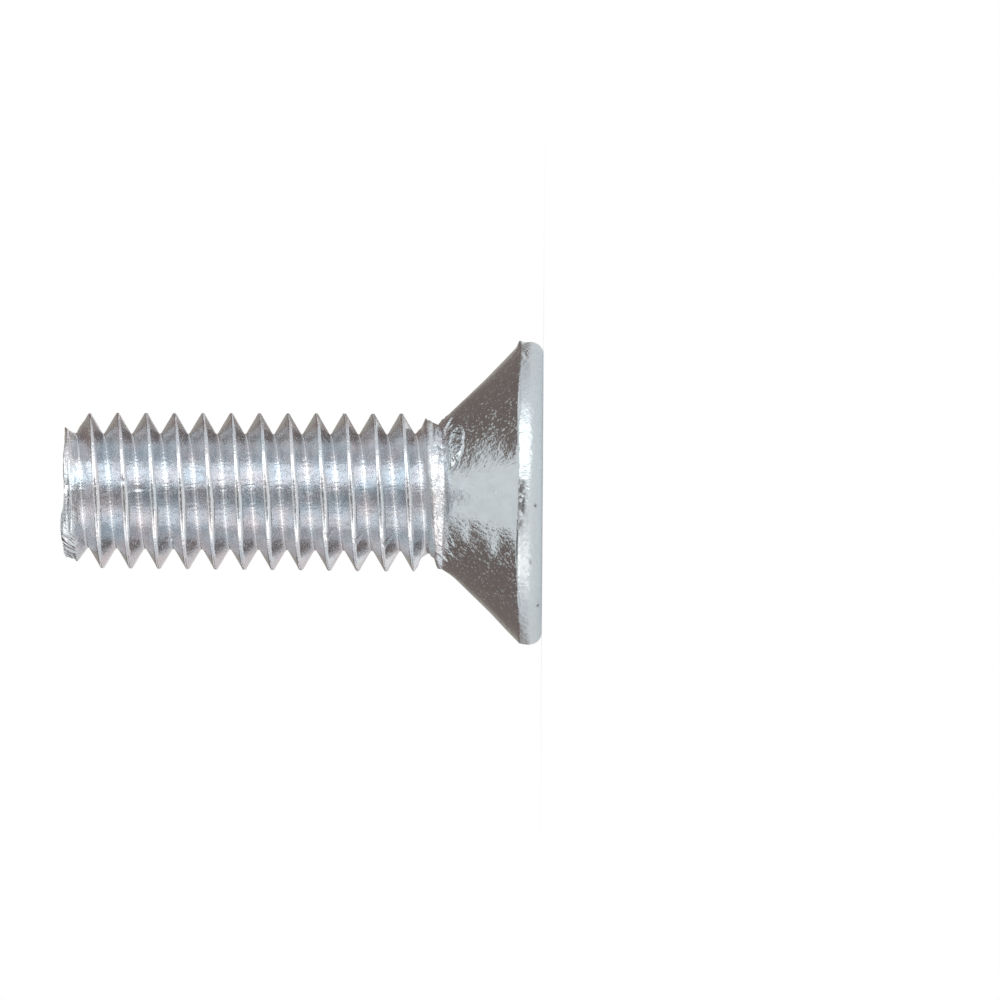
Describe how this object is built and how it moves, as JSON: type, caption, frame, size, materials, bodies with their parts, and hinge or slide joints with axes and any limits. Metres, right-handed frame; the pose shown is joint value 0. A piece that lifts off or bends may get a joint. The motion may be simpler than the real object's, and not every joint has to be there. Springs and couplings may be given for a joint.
{
  "type": "countersunk machine screw",
  "caption": "Countersunk machine screw with a cross recess, a 90 degree head and a full-length rolled metric thread, zinc plated.",
  "frame": {"origin": "centre of the flat face of the head, which the screw stands on", "axes": "+Z along the screw's axis from the head's face to the point end; +X and +Y along the wings of the recess"},
  "size_m": [0.0074, 0.0074, 0.0118],
  "materials": {
    "zinc_plated_steel": "bright zinc plating with a pale blue passivation, slightly grainy, with fine scratches"
  },
  "bodies": {
    "root": {"screw": "zinc_plated_steel"}
  },
  "joints": []
}
